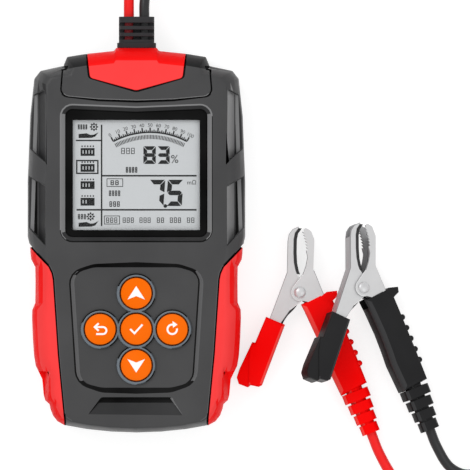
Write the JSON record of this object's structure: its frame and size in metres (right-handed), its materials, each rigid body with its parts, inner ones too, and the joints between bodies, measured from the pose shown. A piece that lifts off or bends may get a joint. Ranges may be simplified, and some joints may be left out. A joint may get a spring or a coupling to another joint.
{
  "type": "battery tester",
  "caption": "Handheld battery tester with a display, round keys, side grips and two leads ending in spring clamps.",
  "frame": {"origin": "centre of the resting back face under the tester's box without its leads and clamps", "axes": "+X to the right of the display, +Y towards the cable end, +Z out of the display face"},
  "size_m": [0.2041, 0.2336, 0.0304],
  "materials": {
    "black_component": "moulded epoxy",
    "black_gloss": "gloss black",
    "black_handle": "soft black PVC",
    "black_lead": "satin PVC",
    "black_rubber": "matte rubber",
    "board_green": "green solder mask",
    "ceramic": "white ceramic",
    "clamp_sheet": "nickel-plated sheet steel",
    "clear_lens": "clear acrylic",
    "contact_dark": "dark contact lining",
    "dark_shell": "fine textured charcoal plastic",
    "dark_trim": "fine textured charcoal plastic",
    "display": "grey liquid crystal panel",
    "key_surround": "blue-grey plastic",
    "orange_key": "smooth orange plastic",
    "red_cap": "satin red plastic",
    "red_grip": "satin red moulded grip",
    "red_handle": "soft red PVC",
    "red_lead": "satin PVC",
    "rivet_steel": "polished steel",
    "screw_steel": "zinc-plated steel",
    "spring_steel": "blackened spring wire",
    "switch_metal": "tinned steel",
    "white_plastic": "white plastic"
  },
  "bodies": {
    "root": {"rear_cover": "dark_shell", "front_cover": "dark_shell", "grip_left": "red_grip", "grip_right": "red_grip", "top_trim": "dark_trim", "cable_cap": "red_cap", "strain_relief": "black_rubber", "display_bezel": "black_gloss", "display_lens": "clear_lens", "display_glass": "display", "backlight": "white_plastic", "key_surround": "key_surround", "key_switches": "switch_metal", "main_board": "board_green", "board_parts": "black_component", "load_resistors": "ceramic", "board_screws": "screw_steel", "cover_screws": "screw_steel", "tail_red": "red_lead", "tail_black": "black_lead", "lead_red": "red_lead", "lead_black": "black_lead", "red_fixed_lever": "clamp_sheet", "red_rivet": "rivet_steel", "red_spring": "spring_steel", "red_handle": "red_handle", "black_fixed_lever": "clamp_sheet", "black_rivet": "rivet_steel", "black_spring": "spring_steel", "black_handle": "black_handle"},
    "key_up": {"key_up": "orange_key"},
    "key_down": {"key_down": "orange_key"},
    "key_left": {"key_left": "orange_key"},
    "key_middle": {"key_middle": "orange_key"},
    "key_right": {"key_right": "orange_key"},
    "red_clip": {"red_free_lever": "clamp_sheet", "red_contact": "contact_dark", "red_sleeve": "red_handle"},
    "black_clip": {"black_free_lever": "clamp_sheet", "black_contact": "contact_dark", "black_sleeve": "black_handle"}
  },
  "joints": [
    {"name": "key_up_press", "type": "slide", "parent": "root", "child": "key_up", "axis": [0, 0, -1], "range_m": [0, 0.0008], "stiffness_N_per_m": 900, "springref_m": -0.0002},
    {"name": "key_down_press", "type": "slide", "parent": "root", "child": "key_down", "axis": [0, 0, -1], "range_m": [0, 0.0008], "stiffness_N_per_m": 900, "springref_m": -0.0002},
    {"name": "key_left_press", "type": "slide", "parent": "root", "child": "key_left", "axis": [0, 0, -1], "range_m": [0, 0.0008], "stiffness_N_per_m": 900, "springref_m": -0.0002},
    {"name": "key_middle_press", "type": "slide", "parent": "root", "child": "key_middle", "axis": [0, 0, -1], "range_m": [0, 0.0008], "stiffness_N_per_m": 900, "springref_m": -0.0002},
    {"name": "key_right_press", "type": "slide", "parent": "root", "child": "key_right", "axis": [0, 0, -1], "range_m": [0, 0.0008], "stiffness_N_per_m": 900, "springref_m": -0.0002},
    {"name": "red_clamp_open", "type": "hinge", "parent": "root", "child": "red_clip", "pos_m": [0.0656, -0.0273, 0.0048], "axis": [0, 0, 1], "range_deg": [0, 34], "stiffness_Nm_per_rad": 0.25, "springref_deg": -34.38, "deforming": ["red_spring"]},
    {"name": "black_clamp_open", "type": "hinge", "parent": "root", "child": "black_clip", "pos_m": [0.08985, -0.02577, 0.01018], "axis": [0.3693, 0.1277, 0.9205], "range_deg": [0, 34], "stiffness_Nm_per_rad": 0.25, "springref_deg": -34.38, "deforming": ["black_spring"]}
  ]
}
